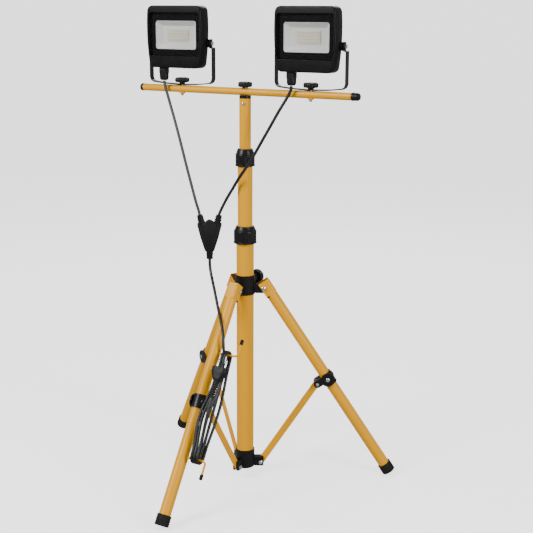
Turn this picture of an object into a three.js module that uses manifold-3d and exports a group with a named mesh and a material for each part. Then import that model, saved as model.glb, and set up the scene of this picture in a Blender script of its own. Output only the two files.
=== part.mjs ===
// Twin LED work light on a telescopic folding tripod. Millimetres, +Z up.
// The origin is on the mast's axis, at the underside of the lower hub. The crossbar lies along X and the
// lamps face -Y. The floor is FLOOR_DROP below the origin.
import * as THREE from 'three';
import { mergeVertices } from 'three/addons/utils/BufferGeometryUtils.js';
import Module from 'manifold-3d';

const wasm = await Module();
wasm.setup();

// ---- driving dimensions -------------------------------------------------------------------------------
const GAP = 0.3; // between pieces that touch
const FLOOR_DROP = 20;
const WALL = 1.2; // of every steel tube
const MAST_SIDES = 24; // of every round face about the mast's axis

const MAST = {
  lower: { r: 19, bottom: 3 + GAP, top: 535 },
  middle: { r: 16, bottom: 200, top: 702 },
  upper: { r: 12.5, bottom: 330, top: 829 },
};
const BUSH_DEPTH = 45;
const BUSH_FLANGE = 2.4;
const LOCK_LOWER = { r: 25.2, bottom: 518, shoulder: 545, top: 555.5 };
const LOCK_UPPER = { r: 21.3, bottom: 686, shoulder: 711.5, top: 723 };

const LEG_AZIMUTHS = { front: -90, right: 30, rear: 150 };
const LEG_TILT = THREE.MathUtils.degToRad(33); // from the vertical
const LEG_R = 12.5;
const LEG_OFFSET = 7; // of the tube's axis, outwards from the pivot
const LEG_PIVOT = { r: 40.6, z: 418 };
const FOOT = { r: 15.2, height: 23, sole: 5 };
const CHANNEL = {
  half: 11.7,
  wall: 1.5,
  above: 13, // the pivot
  below: 21,
  inner: -5.5,
  outer: LEG_OFFSET + LEG_R,
  corner: 5,
};

const LOWER_HUB = { r: 21.5, height: 42, floor: 3 };
const BRACE_LUG = { slot: 2.3, outer: 6.5, reach: 42, low: 1.5, high: 24, corner: 3 };
const BRACE_PIVOT = { r: 35.3, z: 10 };
const UPPER_HUB = { r: 22, bottom: 404, top: 447 };
const LEG_LUG = { reach: 48.6, low: 407, high: 427, corner: 5 };
const HUB_BOSS = { r: 9, end: 37 };
const HUB_KNOB = { r: 16, stemR: 8, from: 43, to: 57, z: 433 };

const BRACKET_BOLT_T = 253; // along the leg from its pivot
const BRACE_TOP = { r: 161.2, z: 198.9 }; // the brace's upper pivot
const BRACKET_LUG_R = 8;
const BRACKET = { cheekR: 15.5, inner: LEG_R + GAP, outer: LEG_R + GAP + 2.6, clevis: 2.3 };
const BRACE = { width: 15, thick: 3, hole: 3 };

const BAR = { r: 7.75, left: -261.5, right: 250, z: 843 };
const SEAT = { r: 12.5, bottom: 829 + GAP, top: BAR.z - 7.75 - GAP };
const SCREW_R = 3;
const CENTRE_KNOB = { r: 16, stemR: 6.5, stem: 2, head: 10 };
const LAMP_KNOB = { r: 16.5, stemR: 6, stem: 3.4, head: 9.5 };
const HOLE_R = 3.35;

const LAMP_X = { left: -160, right: 156.5 };
const LAMP = { half: 70.5, bottom: 888.5, top: 1019.5, front: -31.5, back: 0, corner: 13 };
const GLASS = { half: 64.5, bottom: 913.5, top: 1004, front: LAMP.front + 4.5, back: LAMP.front + 8.5 };
const WINDOW = { half: 51.8, bottom: 928, top: 987.5 };
const REFLECTOR_FLOOR = LAMP.front + 20;
const LED_BOARD = { half: 27, tall: 25.5, thick: 1.6 };
const TILT_Z = 941;
const GLAND = { x: -36.3, y: -16, r: 10.6, bottom: 861 };
const STRAP = { half: 6, thick: 2.6, outer: 82.3, tab: 72.6, corner: 8, dip: 851.05 };

const HOOK = { r: 2.5, reach: 57, bend: 6, rise: 36, upper: 143.5, lower: 371 };
const CORD_R = 3.25;
const HANK = { left: 24.6, right: 45.4, half: 16.25, hole: 9.7, top: 150.4, bottom: 364.2 };
const PLUG = {
  y: 42,
  out: 26.6,
  tip: 161, // this and the next three are distances down the leg
  face: 178,
  neck: 208,
  end: 244,
  r: 17.5,
  neckR: 9,
  relief: { r: 6.2, flare: 8.4 },
  pin: { r: 2.4, pitch: 19 },
  flatness: 0.55,
};
const SPLITTER = {
  x: -69.3,
  y: -35,
  turn: THREE.MathUtils.degToRad(28),
  bottom: 481,
  shoulder: 561,
  inlet: { x: 17.3, splay: 0.22, length: 17, from: -9, r: 7.2, flare: 7.6 },
  tail: { length: 17, r: 7.6, flare: 8.6 },
  body: { narrow: 10, wide: 26.5, dome: 10, domeRise: 14, depth: 13, bevel: 3 },
};

// ---- materials ----------------------------------------------------------------------------------------
const finish = (color, roughness, metalness) => () =>
  new THREE.MeshStandardMaterial({ color, roughness, metalness });
const yellow = finish(0xf8b41e, 0.32, 0.1);
const zinc = finish(0xc4c6c8, 0.32, 0.9);
const plastic = finish(0x141414, 0.42, 0);
const castBlack = finish(0x101011, 0.5, 0.2);
const paintBlack = finish(0x222223, 0.5, 0.1);
const rubber = finish(0x1a1a1a, 0.8, 0);
const glassBlack = finish(0x0b0c0d, 0.08, 0);
const white = finish(0xe9e7df, 0.45, 0);
const boardWhite = finish(0xefeee6, 0.5, 0);
const plugBlack = finish(0x1c1c1c, 0.5, 0);

// ---- geometry helpers ---------------------------------------------------------------------------------
function toSolid(geometry) {
  const bare = geometry.clone();
  bare.deleteAttribute('normal');
  bare.deleteAttribute('uv');
  const merged = mergeVertices(bare, 1e-4);
  const index = merged.index.array;
  const kept = [];
  for (let i = 0; i < index.length; i += 3) {
    const [a, b, c] = [index[i], index[i + 1], index[i + 2]];
    if (a !== b && b !== c && c !== a) kept.push(a, b, c);
  }
  return new wasm.Manifold(
    new wasm.Mesh({
      numProp: 3,
      vertProperties: merged.attributes.position.array,
      triVerts: new Uint32Array(kept),
    }),
  );
}

function toGeometry(solid) {
  const mesh = solid.getMesh();
  const geometry = new THREE.BufferGeometry();
  geometry.setAttribute('position', new THREE.BufferAttribute(mesh.vertProperties, 3));
  geometry.setIndex(new THREE.BufferAttribute(mesh.triVerts, 1));
  return geometry;
}

const join = (...pieces) => toGeometry(pieces.map(toSolid).reduce((a, b) => a.add(b)));
const cut = (piece, ...tools) => toGeometry(tools.map(toSolid).reduce((a, b) => a.subtract(b), toSolid(piece)));

// A body of revolution about Z. The profile is [radius, z] pairs, going up the outside.
function turned(profile, segments = 20) {
  const points = profile.map(([r, z]) => new THREE.Vector2(r, z));
  return new THREE.LatheGeometry(points, segments).rotateX(Math.PI / 2);
}

const ring = (inner, outer, low, high, segments) =>
  turned([[inner, low], [outer, low], [outer, high], [inner, high], [inner, low]], segments);

const rod = (r, low, high, segments = 10) => turned([[0, low], [r, low], [r, high], [0, high]], segments);

// The same rod along X or Y, where low and high are places on that axis.
const rodX = (r, low, high, segments) => rod(r, low, high, segments).rotateY(Math.PI / 2);
const rodY = (r, low, high, segments) => rod(r, -high, -low, segments).rotateX(Math.PI / 2);

function block(x0, x1, y0, y1, z0, z1) {
  const solid = new THREE.BoxGeometry(x1 - x0, y1 - y0, z1 - z0);
  return solid.translate((x0 + x1) / 2, (y0 + y1) / 2, (z0 + z1) / 2);
}

function outline(points) {
  return new THREE.Shape(points.map(([x, y]) => new THREE.Vector2(x, y)));
}

// A flat plate of a shape drawn in the XZ plane, from y0 to y1.
function plateXZ(shape, y0, y1, curveSegments = 8) {
  const flat = new THREE.ExtrudeGeometry(shape, { depth: y1 - y0, bevelEnabled: false, curveSegments });
  return flat.rotateX(Math.PI / 2).translate(0, y1, 0);
}

function roundedRect(x0, x1, z0, z1, r) {
  const shape = new THREE.Shape();
  shape.moveTo(x0 + r, z0);
  shape.lineTo(x1 - r, z0);
  shape.absarc(x1 - r, z0 + r, r, -Math.PI / 2, 0);
  shape.lineTo(x1, z1 - r);
  shape.absarc(x1 - r, z1 - r, r, 0, Math.PI / 2);
  shape.lineTo(x0 + r, z1);
  shape.absarc(x0 + r, z1 - r, r, Math.PI / 2, Math.PI);
  shape.lineTo(x0, z0 + r);
  shape.absarc(x0 + r, z0 + r, r, Math.PI, Math.PI * 1.5);
  return shape;
}

// A round wire or cord along a curve.
function along(curve, r, steps, sides) {
  const section = new THREE.Shape();
  for (let i = 0; i < sides; i++) {
    const a = (2 * Math.PI * i) / sides;
    const place = [r * Math.cos(a), r * Math.sin(a)];
    if (i) section.lineTo(...place);
    else section.moveTo(...place);
  }
  section.closePath();
  return new THREE.ExtrudeGeometry(section, { steps, bevelEnabled: false, extrudePath: curve });
}

// A lobed disc about Z, such as a star knob's head.
function lobed(r, depth, lobes, low, high) {
  const steps = lobes * 4;
  const points = [];
  for (let i = 0; i < steps; i++) {
    const a = (2 * Math.PI * i) / steps;
    const reach = r - depth * (0.5 - 0.5 * Math.cos(lobes * a));
    points.push([reach * Math.cos(a), reach * Math.sin(a)]);
  }
  const flat = new THREE.ExtrudeGeometry(outline(points), { depth: high - low, bevelEnabled: false });
  return flat.translate(0, 0, low);
}

// A six-lobed hand knob on a stem that starts at z, with its screw down to screwEnd.
function starKnob({ r, stemR, stem, head }, z, screwEnd) {
  const disc = lobed(r, 2, 6, z + stem, z + stem + head);
  return join(disc, rod(stemR, z, z + stem + 1, 16), rod(SCREW_R, screwEnd, z + 2));
}

// ---- scene graph helpers ------------------------------------------------------------------------------
const group = new THREE.Group();

function add(name, geometry, material, parent = group) {
  const mesh = new THREE.Mesh(geometry, material());
  mesh.name = name;
  parent.add(mesh);
  return mesh;
}

// A group turned so that its +X points away from the mast at that azimuth.
function spoke(azimuth) {
  const holder = new THREE.Group();
  holder.rotation.z = THREE.MathUtils.degToRad(azimuth);
  group.add(holder);
  return holder;
}

// A leg's own frame: the pivot is the origin, the leg runs down -Z, +X is its outer side and Y is across it.
function legFrame(azimuth) {
  const holder = new THREE.Group();
  holder.position.set(LEG_PIVOT.r, 0, LEG_PIVOT.z);
  holder.rotation.y = -LEG_TILT;
  spoke(azimuth).add(holder);
  return holder;
}

// The leg's tube lies on a line beside the pivot's own, and so do the pieces clamped on it.
function tubeFrame(azimuth) {
  const holder = new THREE.Group();
  holder.position.x = LEG_OFFSET;
  legFrame(azimuth).add(holder);
  return holder;
}

// ---- mast ---------------------------------------------------------------------------------------------
function mast() {
  for (const [name, tube] of Object.entries(MAST)) {
    add(`mast_tube_${name}`, ring(tube.r - WALL, tube.r, tube.bottom, tube.top, MAST_SIDES), yellow);
  }
  const bushes = [['lower', MAST.lower, MAST.middle], ['upper', MAST.middle, MAST.upper]];
  for (const [name, outside, inside] of bushes) {
    const bore = inside.r + GAP;
    const seat = outside.top + GAP;
    const sleeve = [
      [bore, outside.top - BUSH_DEPTH],
      [outside.r - WALL - GAP, outside.top - BUSH_DEPTH],
      [outside.r - WALL - GAP, seat],
      [outside.r, seat],
      [outside.r, seat + BUSH_FLANGE],
      [bore, seat + BUSH_FLANGE],
      [bore, outside.top - BUSH_DEPTH],
    ];
    add(`mast_bush_${name}`, turned(sleeve, MAST_SIDES), plastic);
  }
  const locks = [
    ['lower', LOCK_LOWER, MAST.lower, MAST.middle],
    ['upper', LOCK_UPPER, MAST.middle, MAST.upper],
  ];
  for (const [name, lock, outside, inside] of locks) {
    const roof = outside.top + 2 * GAP + BUSH_FLANGE;
    const profile = [
      [outside.r + GAP, lock.bottom],
      [lock.r - 1.5, lock.bottom],
      [lock.r, lock.bottom + 2],
      [lock.r - 0.8, lock.shoulder],
      [inside.r + 3, lock.top],
      [inside.r + GAP, lock.top],
      [inside.r + GAP, roof],
      [outside.r + GAP, roof],
      [outside.r + GAP, lock.bottom],
    ];
    add(`lock_collar_${name}`, turned(profile, MAST_SIDES), plastic);
  }
}

// ---- hubs ---------------------------------------------------------------------------------------------
function lowerHub() {
  const bore = MAST.lower.r + GAP;
  let hub = turned([
    [0, 0],
    [LOWER_HUB.r - 1.5, 0],
    [LOWER_HUB.r, 1.5],
    [LOWER_HUB.r, LOWER_HUB.height],
    [bore, LOWER_HUB.height],
    [bore, LOWER_HUB.floor],
    [0, LOWER_HUB.floor],
  ], MAST_SIDES);
  const { slot, outer, reach, low, high, corner } = BRACE_LUG;
  for (const azimuth of Object.values(LEG_AZIMUTHS)) {
    const turn = THREE.MathUtils.degToRad(azimuth);
    const hole = rodY(HOLE_R, -20, 20).translate(BRACE_PIVOT.r, 0, BRACE_PIVOT.z).rotateZ(turn);
    for (const side of [-1, 1]) {
      const [y0, y1] = side > 0 ? [slot, outer] : [-outer, -slot];
      const ear = roundedRect(MAST.lower.r + 1, reach, low, high, corner);
      hub = join(hub, plateXZ(ear, y0, y1, 2).rotateZ(turn));
    }
    hub = cut(hub, hole);
  }
  add('lower_hub', cut(hub, rod(bore, LOWER_HUB.floor, 60, MAST_SIDES)), plastic);
}

// A bolt across a clevis: a domed head on one side and a nut on the other, in a spoke's own frame.
function bolt(radius, headR, grip) {
  const rim = [headR, grip + 2];
  const head = turned([[0, grip], [headR, grip], rim, [headR * 0.6, grip + 3.2], [0, grip + 3.2]], 12);
  const nut = turned([[0, -grip - 4], [headR, -grip - 4], [headR, -grip], [0, -grip]], 6);
  return join(rod(radius, -grip - 1, grip + 1), head, nut).rotateX(Math.PI / 2);
}

function upperHub() {
  const bore = MAST.lower.r + 0.4;
  const { r, bottom, top } = UPPER_HUB;
  let hub = turned([
    [bore, bottom],
    [r - 1, bottom],
    [r, bottom + 1],
    [r, top - 1],
    [r - 1, top],
    [bore, top],
    [bore, bottom],
  ], MAST_SIDES);
  const lugHalf = CHANNEL.half - CHANNEL.wall - 1;
  for (const azimuth of Object.values(LEG_AZIMUTHS)) {
    const turn = THREE.MathUtils.degToRad(azimuth);
    const side = roundedRect(r - 1.5, LEG_LUG.reach, LEG_LUG.low, LEG_LUG.high, LEG_LUG.corner);
    const hole = rodY(HOLE_R, -30, 30).translate(LEG_PIVOT.r, 0, LEG_PIVOT.z).rotateZ(turn);
    hub = cut(join(hub, plateXZ(side, -lugHalf, lugHalf, 3).rotateZ(turn)), hole);
  }
  const boss = rodY(HUB_BOSS.r, r - 1.5, HUB_BOSS.end, 16).translate(0, 0, HUB_KNOB.z);
  const threadHole = rodY(HOLE_R, MAST.lower.r - 3, HUB_BOSS.end + 5).translate(0, 0, HUB_KNOB.z);
  add('upper_hub', cut(join(hub, boss), threadHole, rod(bore, bottom - 10, top + 10, MAST_SIDES)), plastic);

  const head = lobed(HUB_KNOB.r, 1.8, 8, HUB_KNOB.from, HUB_KNOB.to);
  const stem = rod(HUB_KNOB.stemR, HUB_BOSS.end + 1, HUB_KNOB.from + 1, 16);
  const screw = rod(SCREW_R, MAST.lower.r + GAP, HUB_KNOB.from);
  const knob = join(head, stem, screw).rotateX(-Math.PI / 2).translate(0, 0, HUB_KNOB.z);
  add('hub_clamp_knob', knob, plastic);
}

// ---- legs and braces ----------------------------------------------------------------------------------
function legTube() {
  const { half, wall, above, below, inner, outer, corner } = CHANNEL;
  const section = new THREE.Shape();
  section.moveTo(inner, -half);
  section.absarc(outer - corner, corner - half, corner, -Math.PI / 2, 0);
  section.absarc(outer - corner, half - corner, corner, 0, Math.PI / 2);
  section.lineTo(inner, half);
  section.lineTo(inner, half - wall);
  section.absarc(outer - corner, half - corner, corner - wall, Math.PI / 2, 0, true);
  section.absarc(outer - corner, corner - half, corner - wall, 0, -Math.PI / 2, true);
  section.lineTo(inner, wall - half);
  const channel = new THREE.ExtrudeGeometry(section, {
    depth: above + below,
    bevelEnabled: false,
    curveSegments: 4,
  });
  const tubeEnd = -(FOOT_T - FOOT.sole - GAP);
  const tube = ring(LEG_R - WALL, LEG_R, tubeEnd, -below + 6, 24).translate(LEG_OFFSET, 0, 0);
  return cut(join(channel.translate(0, 0, -below), tube), rodY(HOLE_R, -30, 30));
}

// The sole's centre, far enough down the leg that the sole's lower edge meets the floor.
const FOOT_T = (LEG_PIVOT.z + FLOOR_DROP + (LEG_OFFSET - FOOT.r) * Math.sin(LEG_TILT)) / Math.cos(LEG_TILT);

function footCap() {
  const bore = LEG_R + GAP;
  return turned([
    [0, -FOOT_T],
    [FOOT.r, -FOOT_T],
    [FOOT.r - 0.4, FOOT.height - FOOT_T],
    [bore, FOOT.height - FOOT_T],
    [bore, FOOT.sole - FOOT_T],
    [0, FOOT.sole - FOOT_T],
  ], 24);
}

// Saddle over the leg's outer side, with two cheeks that reach in to hold the brace's upper end.
function legBracket() {
  const { cheekR, inner, outer, clevis } = BRACKET;
  const z = -BRACKET_BOLT_T;
  const saddle = cut(
    ring(inner, outer, z - cheekR + 1, z + cheekR - 1, 24),
    block(-40, 0, -40, 40, z - 30, z + 30),
  );
  const run = new THREE.Vector2(BRACE_TOP.r - LEG_PIVOT.r, BRACE_TOP.z - LEG_PIVOT.z);
  const lug = run.rotateAround(new THREE.Vector2(), -LEG_TILT).sub(new THREE.Vector2(LEG_OFFSET, 0));
  const [low, high] = [lug.y - BRACKET_LUG_R, lug.y + BRACKET_LUG_R];
  let body = saddle;
  for (const side of [-1, 1]) {
    const [y0, y1] = side > 0 ? [inner, outer] : [-outer, -inner];
    const [c0, c1] = side > 0 ? [clevis, outer] : [-outer, -clevis];
    const disc = rodY(cheekR, y0, y1, 20).translate(0, 0, z);
    const ear = rodY(BRACKET_LUG_R, c0, c1, 14).translate(lug.x, 0, lug.y);
    const web = block(lug.x, 0, y0, y1, low, high);
    const foot = block(lug.x, -inner - 0.6, c0, c1, low, high);
    body = join(body, disc, ear, web, foot);
  }
  return body;
}

function brace() {
  const foot = new THREE.Vector2(BRACE_PIVOT.r, BRACE_PIVOT.z);
  const span = new THREE.Vector2(BRACE_TOP.r, BRACE_TOP.z).sub(foot);
  const half = BRACE.width / 2;
  const strip = new THREE.Shape();
  strip.absarc(span.length(), 0, half, -Math.PI / 2, Math.PI / 2);
  strip.absarc(0, 0, half, Math.PI / 2, Math.PI * 1.5);
  for (const x of [0, span.length()]) {
    strip.holes.push(new THREE.Path().absarc(x, 0, BRACE.hole, 0, 2 * Math.PI, true));
  }
  const flat = plateXZ(strip, -BRACE.thick / 2, BRACE.thick / 2, 6);
  return flat.rotateY(-span.angle()).translate(foot.x, 0, foot.y);
}

function tripod() {
  for (const [name, azimuth] of Object.entries(LEG_AZIMUTHS)) {
    const leg = legFrame(azimuth);
    const onTube = tubeFrame(azimuth);
    add(`leg_tube_${name}`, legTube(), yellow, leg);
    add(`foot_cap_${name}`, footCap(), rubber, onTube);
    add(`leg_bracket_${name}`, legBracket(), plastic, onTube);
    const pivotBolt = bolt(SCREW_R, 5, CHANNEL.half + GAP).rotateZ(name === 'front' ? Math.PI : 0);
    add(`leg_pivot_bolt_${name}`, pivotBolt, zinc, leg);
    const arm = spoke(azimuth);
    add(`brace_${name}`, brace(), yellow, arm);
    const pin = bolt(BRACE.hole - GAP, 4.5, 6.5 + GAP).translate(BRACE_PIVOT.r, 0, BRACE_PIVOT.z);
    add(`brace_bolt_${name}`, pin, zinc, arm);
  }
}

// ---- crossbar -----------------------------------------------------------------------------------------
function crossbar() {
  const drill = rod(HOLE_R, BAR.z - 20, BAR.z + 20);
  const holes = [LAMP_X.left, 0, LAMP_X.right].map((x) => drill.clone().translate(x, 0, 0));
  const tube = ring(BAR.r - WALL, BAR.r, BAR.left, BAR.right, 20).rotateY(Math.PI / 2).translate(0, 0, BAR.z);
  add('crossbar', cut(tube, ...holes), yellow);

  const plugR = BAR.r - WALL - GAP;
  const spigot = [[0, -15], [plugR, -15], [plugR, GAP]];
  const short = turned([...spigot, [BAR.r, GAP], [BAR.r, 5], [BAR.r - 2.5, 8], [0, 8.5]]);
  add('crossbar_cap_left', short.rotateY(-Math.PI / 2).translate(BAR.left, 0, BAR.z), plastic);
  const long = turned([...spigot, [BAR.r + 0.3, GAP], [BAR.r + 0.3, 6], [BAR.r, 7], [BAR.r, 12],
    [BAR.r - 2.5, 16.5], [0, 18]]);
  add('crossbar_cap_right', long.rotateY(Math.PI / 2).translate(BAR.right, 0, BAR.z), plastic);

  const insert = MAST.upper.r - WALL - GAP;
  const seat = turned([[0, SEAT.bottom - 35], [insert, SEAT.bottom - 35], [insert, SEAT.bottom],
    [SEAT.r, SEAT.bottom], [SEAT.r, SEAT.top], [0, SEAT.top]], MAST_SIDES);
  add('bar_seat', cut(seat, rod(HOLE_R, SEAT.bottom - 25, SEAT.top + 1)), plastic);

  const stemFrom = BAR.z + BAR.r + GAP;
  add('centre_knob', starKnob(CENTRE_KNOB, stemFrom, SEAT.bottom - 20), plastic);
}

// ---- lamps --------------------------------------------------------------------------------------------
// U-shaped steel strap: bowed down to the bar in the middle, with its arms set in at the tilt pivots.
function strap() {
  const { outer, thick, tab, corner, dip } = STRAP;
  const low = dip + thick;
  const side = [
    [tab, TILT_Z + 9],
    [tab, TILT_Z - 9],
    [outer - thick, TILT_Z - 11],
    [outer - thick, low + 5 + corner],
    [outer - thick - corner * 0.3, low + 5 + corner * 0.3],
    [outer - thick - corner, low + 4.4],
    [outer * 0.5, low + 1.4],
    [0, low],
  ];
  const otherSide = side.slice(0, -1).map(([x, z]) => [-x, z]);
  const inside = [...side, ...otherSide.reverse()];
  const offset = inside.map(([x, z], i) => {
    const here = new THREE.Vector2(x, z);
    const ends = [inside[i - 1], inside[i + 1]].filter(Boolean);
    const runs = ends.map(([u, w]) => new THREE.Vector2(u, w).sub(here));
    if (i) runs[0].negate();
    const [n1, n2] = [runs[0], runs.at(-1)].map((run) => new THREE.Vector2(-run.y, run.x).normalize());
    const reach = thick / (1 + n1.dot(n2));
    return [x + (n1.x + n2.x) * reach, z + (n1.y + n2.y) * reach];
  });
  const loop = [...inside, ...offset.reverse()];
  const flat = plateXZ(outline(loop), -STRAP.half, STRAP.half);
  const bolts = rodX(HOLE_R, -100, 100).translate(0, 0, TILT_Z);
  return cut(flat, bolts, rod(HOLE_R, dip - 10, dip + 10));
}

// Die-cast housing: bulged sides, a pocket for the glass, a chamber behind it and cooling fins at the back.
function housing() {
  const { half, bottom, top, front, back, corner } = LAMP;
  const mid = (bottom + top) / 2;
  const shape = new THREE.Shape();
  const foot = half - 6.5;
  const head = half - 2.5;
  shape.moveTo(-foot + corner, bottom);
  shape.lineTo(foot - corner, bottom);
  shape.quadraticCurveTo(foot, bottom, foot + 1.4, bottom + corner);
  shape.quadraticCurveTo(half + 2.5, mid, head + 1.4, top - corner);
  shape.quadraticCurveTo(head, top, head - corner, top);
  shape.lineTo(-head + corner, top);
  shape.quadraticCurveTo(-head, top, -head - 1.4, top - corner);
  shape.quadraticCurveTo(-half - 2.5, mid, -foot - 1.4, bottom + corner);
  shape.quadraticCurveTo(-foot, bottom, -foot + corner, bottom);
  const bevel = 2.5;
  const body = new THREE.ExtrudeGeometry(shape, {
    depth: back - front - 2 * bevel,
    bevelThickness: bevel,
    bevelSize: bevel,
    bevelOffset: -bevel,
    bevelSegments: 1,
    curveSegments: 4,
  }).rotateX(Math.PI / 2).translate(0, back - bevel, 0);
  const pocket = plateXZ(
    roundedRect(-GLASS.half - GAP, GLASS.half + GAP, GLASS.bottom - GAP, GLASS.top + GAP, 6),
    front - 5, GLASS.back + GAP, 4,
  );
  const chamber = block(-61, 61, GLASS.back, back - 3.5, bottom + 5, top - 6);
  const glandHole = rod(6.4, bottom - 5, bottom + 8, 12).translate(GLAND.x, GLAND.y, 0);
  const fins = [];
  const pitch = 12;
  for (let x = -4.5 * pitch; x <= 4.5 * pitch; x += pitch) {
    fins.push(block(x - 1.2, x + 1.2, back - 1, back + 9, bottom + 14, top - 14));
  }
  const ears = [-1, 1].map((side) => {
    const [x0, x1] = side > 0 ? [60, 72.2] : [-72.2, -60];
    return join(rodX(8, x0, x1, 14), block(x0, x1, -8, 0, -8, 8)).translate(0, 0, TILT_Z);
  });
  const boltHoles = rodX(HOLE_R, -80, 80).translate(0, 0, TILT_Z);
  const outside = join(body, ...fins, ...ears);
  const drilled = cut(outside, pocket, chamber, glandHole);
  const between = block(-66, 66, -20, 20, TILT_Z - 20, TILT_Z + 20);
  return cut(drilled, cut(boltHoles, between));
}

// Four walls that slope from one half width and half height at y0 to another at y1, about height mid.
function frustum(w0, h0, w1, h1, y0, y1, mid) {
  const corners = [[w0, h0, y0], [w1, h1, y1]].flatMap(([w, h, y]) => [
    [-w, y, mid - h], [w, y, mid - h], [w, y, mid + h], [-w, y, mid + h],
  ]);
  const geometry = new THREE.BufferGeometry();
  geometry.setAttribute('position', new THREE.Float32BufferAttribute(corners.flat(), 3));
  const quads = [[0, 1, 2, 3], [7, 6, 5, 4], [1, 0, 4, 5], [2, 1, 5, 6], [3, 2, 6, 7], [0, 3, 7, 4]];
  geometry.setIndex(quads.flatMap(([a, b, c, d]) => [a, b, c, a, c, d]));
  return geometry;
}

// Sheet reflector: a flange behind the glass, four sloping walls and a floor that carries the LED board.
function reflector() {
  const front = GLASS.back + 2 * GAP;
  const floor = REFLECTOR_FLOOR;
  const mid = (WINDOW.bottom + WINDOW.top) / 2;
  const tall = (WINDOW.top - WINDOW.bottom) / 2;
  const flange = block(-60, 60, front, front + 1, mid - 40, mid + 40);
  const shell = frustum(WINDOW.half + 1, tall + 1, 41, 20, front, floor + 1, mid);
  const hollow = frustum(WINDOW.half, tall, 40, 19, front - 0.5, floor, mid);
  return cut(join(flange, shell), hollow);
}

function gland() {
  const { r, bottom } = GLAND;
  const nut = turned([[0, bottom + 11], [r, bottom + 11], [r, LAMP.bottom - GAP], [0, LAMP.bottom - GAP]], 12);
  const crown = [[0, bottom], [6.4, bottom], [8.9, bottom + 3], [9.8, bottom + 12], [0, bottom + 12]];
  const dome = turned(crown, 12);
  const thread = rod(6, LAMP.bottom - 1, LAMP.bottom + 7, 12);
  return join(nut, dome, thread).translate(GLAND.x, GLAND.y, 0);
}

function lamp(name, x) {
  const holder = new THREE.Group();
  holder.position.x = x;
  group.add(holder);
  add(`lamp_strap_${name}`, strap(), paintBlack, holder);
  add(`lamp_housing_${name}`, housing(), castBlack, holder);
  const pane = roundedRect(-GLASS.half, GLASS.half, GLASS.bottom, GLASS.top, 5.7);
  add(`lamp_glass_${name}`, plateXZ(pane, GLASS.front, GLASS.back, 4), glassBlack, holder);
  add(`lamp_reflector_${name}`, reflector(), white, holder);
  const mid = (WINDOW.bottom + WINDOW.top) / 2;
  const boardY = REFLECTOR_FLOOR - GAP;
  const board = block(-LED_BOARD.half, LED_BOARD.half, boardY - LED_BOARD.thick, boardY,
    mid - LED_BOARD.tall / 2, mid + LED_BOARD.tall / 2);
  add(`lamp_led_board_${name}`, board, boardWhite, holder);
  add(`lamp_gland_${name}`, gland(), plastic, holder);
  for (const [end, side] of [['a', -1], ['b', 1]]) {
    const shank = rod(SCREW_R, 67, STRAP.tab + STRAP.thick + 1);
    const headFrom = STRAP.tab + STRAP.thick + GAP;
    const hex = turned([[0, headFrom], [5.2, headFrom], [5.2, headFrom + 3.6], [0, headFrom + 3.6]], 6);
    const screw = join(shank, hex).rotateY((side * Math.PI) / 2).translate(0, 0, TILT_Z);
    add(`lamp_pivot_bolt_${name}_${end}`, screw, zinc, holder);
  }
  const stemFrom = STRAP.dip + STRAP.thick + GAP;
  add(`lamp_knob_${name}`, starKnob(LAMP_KNOB, stemFrom, BAR.z - 12), plastic, holder);
}

// ---- cable hooks, cords, splitter and plug ------------------------------------------------------------
// A bent wire that stands out from the front leg's right side and then runs along the leg.
function hook(t, direction) {
  const { reach, bend, rise } = HOOK;
  const start = LEG_R + GAP;
  const route = new THREE.CurvePath();
  const at = (y, z) => new THREE.Vector3(0, y, z - t);
  route.add(new THREE.LineCurve3(at(start, 0), at(reach - bend, 0)));
  route.add(new THREE.QuadraticBezierCurve3(at(reach - bend, 0), at(reach, 0), at(reach, direction * bend)));
  route.add(new THREE.LineCurve3(at(reach, direction * bend), at(reach, direction * rise)));
  return along(route, HOOK.r, 12, 8);
}

// A cord's route is one smooth curve through its points.
function routeOf(points) {
  return new THREE.CatmullRomCurve3(points.map((p) => new THREE.Vector3(...p)), false, 'centripetal');
}

// A place on the axis of one of the splitter's two inlets, some way out of it.
function inletPlace(side, beyond) {
  const { x, y, turn, shoulder, inlet } = SPLITTER;
  const reach = inlet.length + beyond;
  const across = side * (inlet.x + reach * Math.sin(inlet.splay));
  return [x + across * Math.cos(turn), y + across * Math.sin(turn), shoulder + reach * Math.cos(inlet.splay)];
}

const LEAD_LEFT = [
  [-196.3, -16, 859.8], [-194.6, -16.1, 850.5], [-183.2, -17.8, 818.7], [-163.3, -25, 774.7],
  [-145.3, -33, 735.3], [-122.2, -43, 681.5], [-104.8, -48.5, 637.8], [-93.7, -49, 603.9],
  inletPlace(-1, 9), inletPlace(-1, 0.5),
];
const LEAD_RIGHT = [
  [120.2, -16, 859.8], [118.7, -16.1, 851.5], [114.6, -16.9, 842.5], [108, -18.9, 830.5], [95.1, -22.5, 808.7],
  [76.2, -26.5, 775.2], [57.7, -29.5, 743.3], [38.4, -31.5, 710.9], [22.7, -31.5, 688.7],
  [2.7, -29.5, 663.5], [-17.2, -25, 636.6], [-36.1, -20, 611.4], inletPlace(1, 4), inletPlace(1, 0.5),
];
const MAIN_CORD = [
  [-69.3, -35, 480.4], [-68.7, -35.5, 468], [-64.6, -39.2, 455], [-55.6, -47.4, 440.5],
  [-42.5, -60, 424.5], [-28.8, -73, 405.5], [-15, -86.3, 386.5], [-1, -99.6, 370],
  [10.3, -110.8, 355], [18.6, -120.2, 340], [23.2, -126, 326], [25.2, -128.5, 314.1],
];

function lengthSteps(curve) {
  return Math.round(curve.getLength() / (6 * CORD_R));
}

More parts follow.
